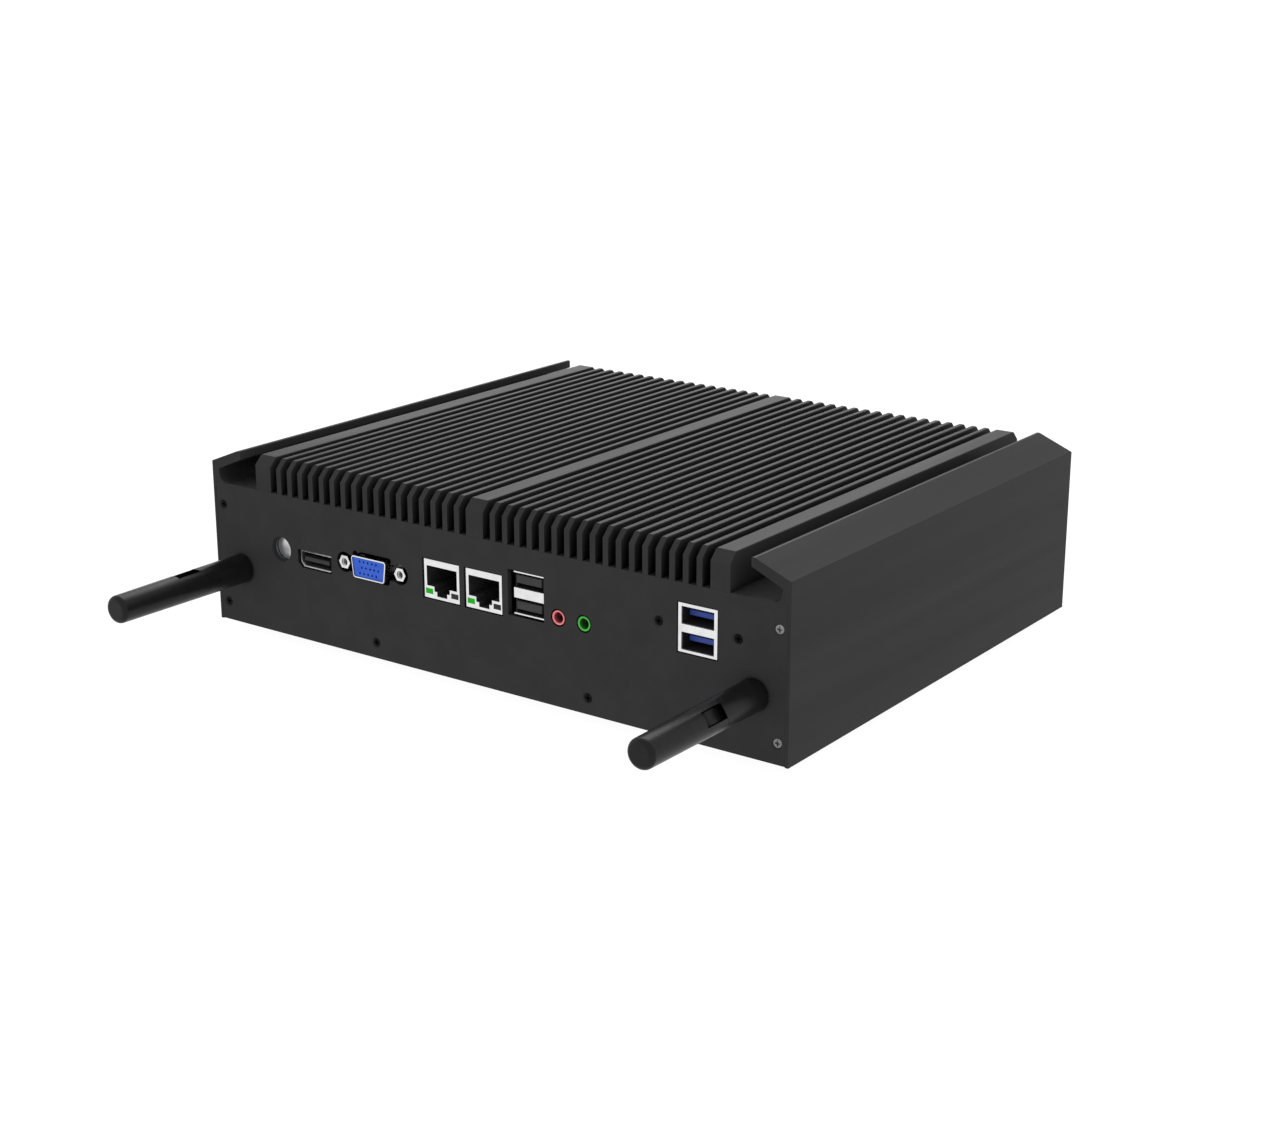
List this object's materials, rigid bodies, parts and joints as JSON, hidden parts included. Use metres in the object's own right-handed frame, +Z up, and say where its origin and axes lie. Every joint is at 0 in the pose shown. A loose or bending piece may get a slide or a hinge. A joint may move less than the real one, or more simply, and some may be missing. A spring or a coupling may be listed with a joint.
{
  "type": "mini computer",
  "caption": "Fanless desktop computer in a finned black metal housing with a port panel, hooked side rails and folding antennas.",
  "frame": {"origin": "middle of the housing's footprint, on the surface that the feet stand on", "axes": "+X to the right along the port panel, +Y from the port panel to the rear, +Z up"},
  "size_m": [0.24, 0.2482, 0.0669],
  "materials": {
    "housing_black": "black anodised, fine extrusion lines",
    "panel_black": "fine matt powder coat",
    "foot_rubber": "matt",
    "screw_black": "black oxide",
    "screw_silver": "bright zinc",
    "button_metal": "satin",
    "plated_metal": "bright tin plate",
    "dull_plated_metal": "dull tin plate",
    "usb_shell_metal": "bright tin plate, dark inside",
    "pin_dark": "black oxide",
    "video_blue": "moulded",
    "usb_blue": "moulded",
    "connector_black": "moulded",
    "tongue_grey": "moulded",
    "contact_gold": "gold flash",
    "lamp_green": "lit",
    "lamp_dark": "unlit",
    "audio_pink": "moulded",
    "audio_green": "moulded",
    "circuit_board": "solder mask",
    "chip_black": "moulded",
    "bare_aluminium": "machined",
    "cell_metal": "satin",
    "steel_plate": "zinc plated",
    "brass_plated": "turned",
    "antenna_black": "satin moulded",
    "lead_black": "extruded jacket"
  },
  "bodies": {
    "housing": {"body_extrusion": "housing_black", "front_panel": "panel_black", "rear_panel": "panel_black", "bottom_cover": "panel_black", "rubber_feet": "foot_rubber", "corner_screws_left": "screw_black", "corner_screws_right": "screw_silver", "flange_screws": "screw_black", "usb3_bracket_screws": "screw_black", "rear_panel_screws": "screw_black", "bottom_cover_screws": "screw_black", "button_barrel": "steel_plate", "button_spring": "steel_plate", "button_switch": "connector_black", "video_port_shell": "dull_plated_metal", "video_port_tongue": "tongue_grey", "d_sub_shell": "plated_metal", "d_sub_insert": "video_blue", "d_sub_posts": "plated_metal", "network_jack_shields": "plated_metal", "network_jack_inserts": "connector_black", "network_jack_contacts": "contact_gold", "network_lamps_lit": "lamp_green", "network_lamps_dark": "lamp_dark", "usb2_shell": "usb_shell_metal", "usb2_tongues": "tongue_grey", "audio_jack_pink": "audio_pink", "audio_jack_green": "audio_green", "usb3_shell": "usb_shell_metal", "usb3_tongues": "usb_blue", "usb3_bracket": "steel_plate", "usb3_board": "circuit_board", "main_board": "circuit_board", "processor": "chip_black", "heat_block": "bare_aluminium", "memory_socket": "connector_black", "memory_module": "circuit_board", "wireless_card": "circuit_board", "coin_cell_holder": "connector_black", "coin_cell": "cell_metal", "board_standoffs": "brass_plated", "board_screws": "screw_silver", "storage_drive": "bare_aluminium", "drive_bracket": "steel_plate", "power_inlet": "connector_black", "power_inlet_nut": "plated_metal", "serial_port_shells": "plated_metal", "serial_port_inserts": "connector_black", "serial_port_pins": "contact_gold", "serial_port_posts": "plated_metal", "antenna_sockets": "brass_plated", "antenna_ring_nuts": "plated_metal", "antenna_leads": "lead_black"},
    "power_button": {"button_cap": "button_metal"},
    "antenna_left_base": {"antenna_base_left": "antenna_black"},
    "antenna_left_rod": {"antenna_rod_left": "antenna_black", "antenna_pin_left": "pin_dark"},
    "antenna_right_base": {"antenna_base_right": "antenna_black"},
    "antenna_right_rod": {"antenna_rod_right": "antenna_black", "antenna_pin_right": "pin_dark"}
  },
  "joints": [
    {"name": "button_press", "type": "slide", "parent": "housing", "child": "power_button", "axis": [0, 1, 0], "range_m": [0, 0.0008], "stiffness_N_per_m": 1500, "springref_m": -0.001, "deforming": ["button_spring"]},
    {"name": "antenna_left_swivel", "type": "hinge", "parent": "housing", "child": "antenna_left_base", "pos_m": [-0.1075, -0.094, 0.0243], "axis": [0, -1, 0], "continuous": true},
    {"name": "antenna_left_tilt", "type": "hinge", "parent": "antenna_left_base", "child": "antenna_left_rod", "pos_m": [-0.1075, -0.1213, 0.0243], "axis": [-0.9962, 0, -0.0872], "range_deg": [0, 90]},
    {"name": "antenna_right_swivel", "type": "hinge", "parent": "housing", "child": "antenna_right_base", "pos_m": [0.1075, -0.094, 0.0243], "axis": [0, -1, 0], "continuous": true},
    {"name": "antenna_right_tilt", "type": "hinge", "parent": "antenna_right_base", "child": "antenna_right_rod", "pos_m": [0.1075, -0.1213, 0.0243], "axis": [-0.5736, 0, 0.8192], "range_deg": [0, 90]}
  ]
}
